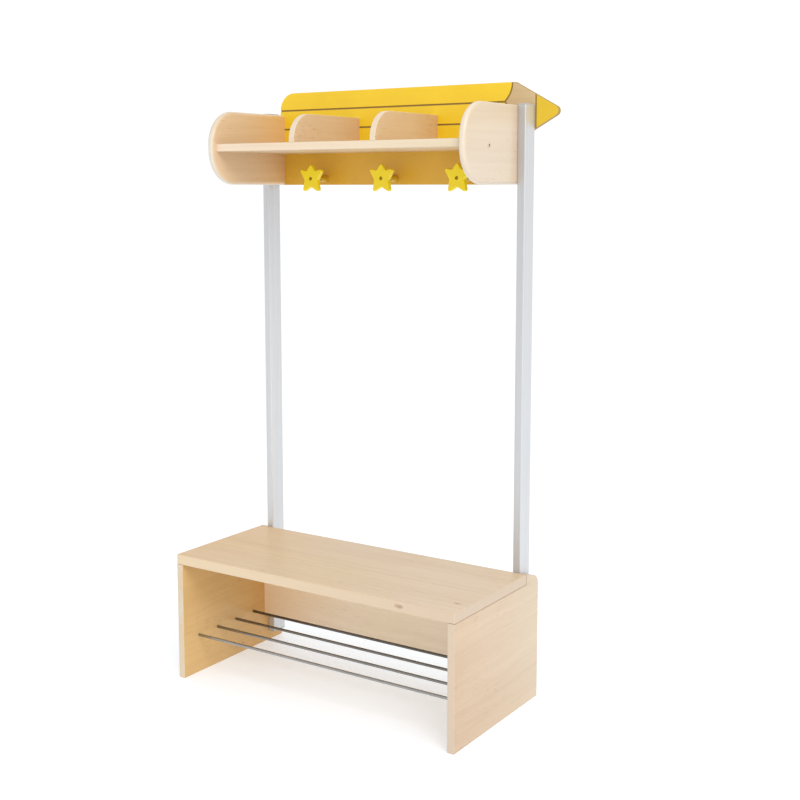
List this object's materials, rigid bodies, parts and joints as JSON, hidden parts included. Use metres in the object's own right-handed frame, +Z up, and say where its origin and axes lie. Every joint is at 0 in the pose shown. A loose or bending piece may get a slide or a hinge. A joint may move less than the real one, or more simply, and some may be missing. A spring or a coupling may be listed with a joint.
{
  "type": "coat rack bench",
  "caption": "Child-size coat rack bench: low wooden seat over a rod shoe rack, metal posts, and a shelf with dividers, star hooks and a pencil-shaped back board.",
  "frame": {"origin": "on the floor, at the middle of the rack's overall width, pencil tip included, and of its depth", "axes": "+Z up, +X to the right as seen by someone facing the seat, the way the pencil points, +Y to the back"},
  "size_m": [0.83, 0.382, 1.4365],
  "materials": {
    "maple_board": "satin",
    "yellow_board": "satin",
    "yellow_hook": "satin",
    "post_metal": "satin",
    "rod_steel": "satin",
    "grey_plastic": "matte",
    "cream_plastic": "matte",
    "fixing_steel": "satin",
    "beech_dowel": "raw"
  },
  "bodies": {
    "root": {"seat_board": "maple_board", "bench_side_left": "maple_board", "bench_side_right": "maple_board", "bench_apron": "maple_board", "shoe_rod_1": "rod_steel", "shoe_rod_2": "rod_steel", "shoe_rod_3": "rod_steel", "shoe_rod_4": "rod_steel", "post_left": "post_metal", "post_right": "post_metal", "post_cap_left": "grey_plastic", "post_cap_right": "grey_plastic", "post_plug_left": "grey_plastic", "post_plug_right": "grey_plastic", "end_panel_left": "maple_board", "end_panel_right": "maple_board", "shelf": "maple_board", "divider_left": "maple_board", "divider_right": "maple_board", "hook_board": "yellow_board", "pencil_board": "yellow_board", "star_hook_left": "yellow_hook", "star_hook_middle": "yellow_hook", "star_hook_right": "yellow_hook", "hook_peg_left": "yellow_hook", "hook_peg_middle": "yellow_hook", "hook_peg_right": "yellow_hook", "seat_dowels": "beech_dowel", "apron_dowels": "beech_dowel", "shelf_dowels": "beech_dowel", "divider_dowels": "beech_dowel", "post_bolts": "fixing_steel", "post_inserts": "fixing_steel", "shelf_screws": "fixing_steel", "shelf_screw_caps": "cream_plastic", "board_screws": "fixing_steel", "star_screws": "fixing_steel"}
  },
  "joints": []
}
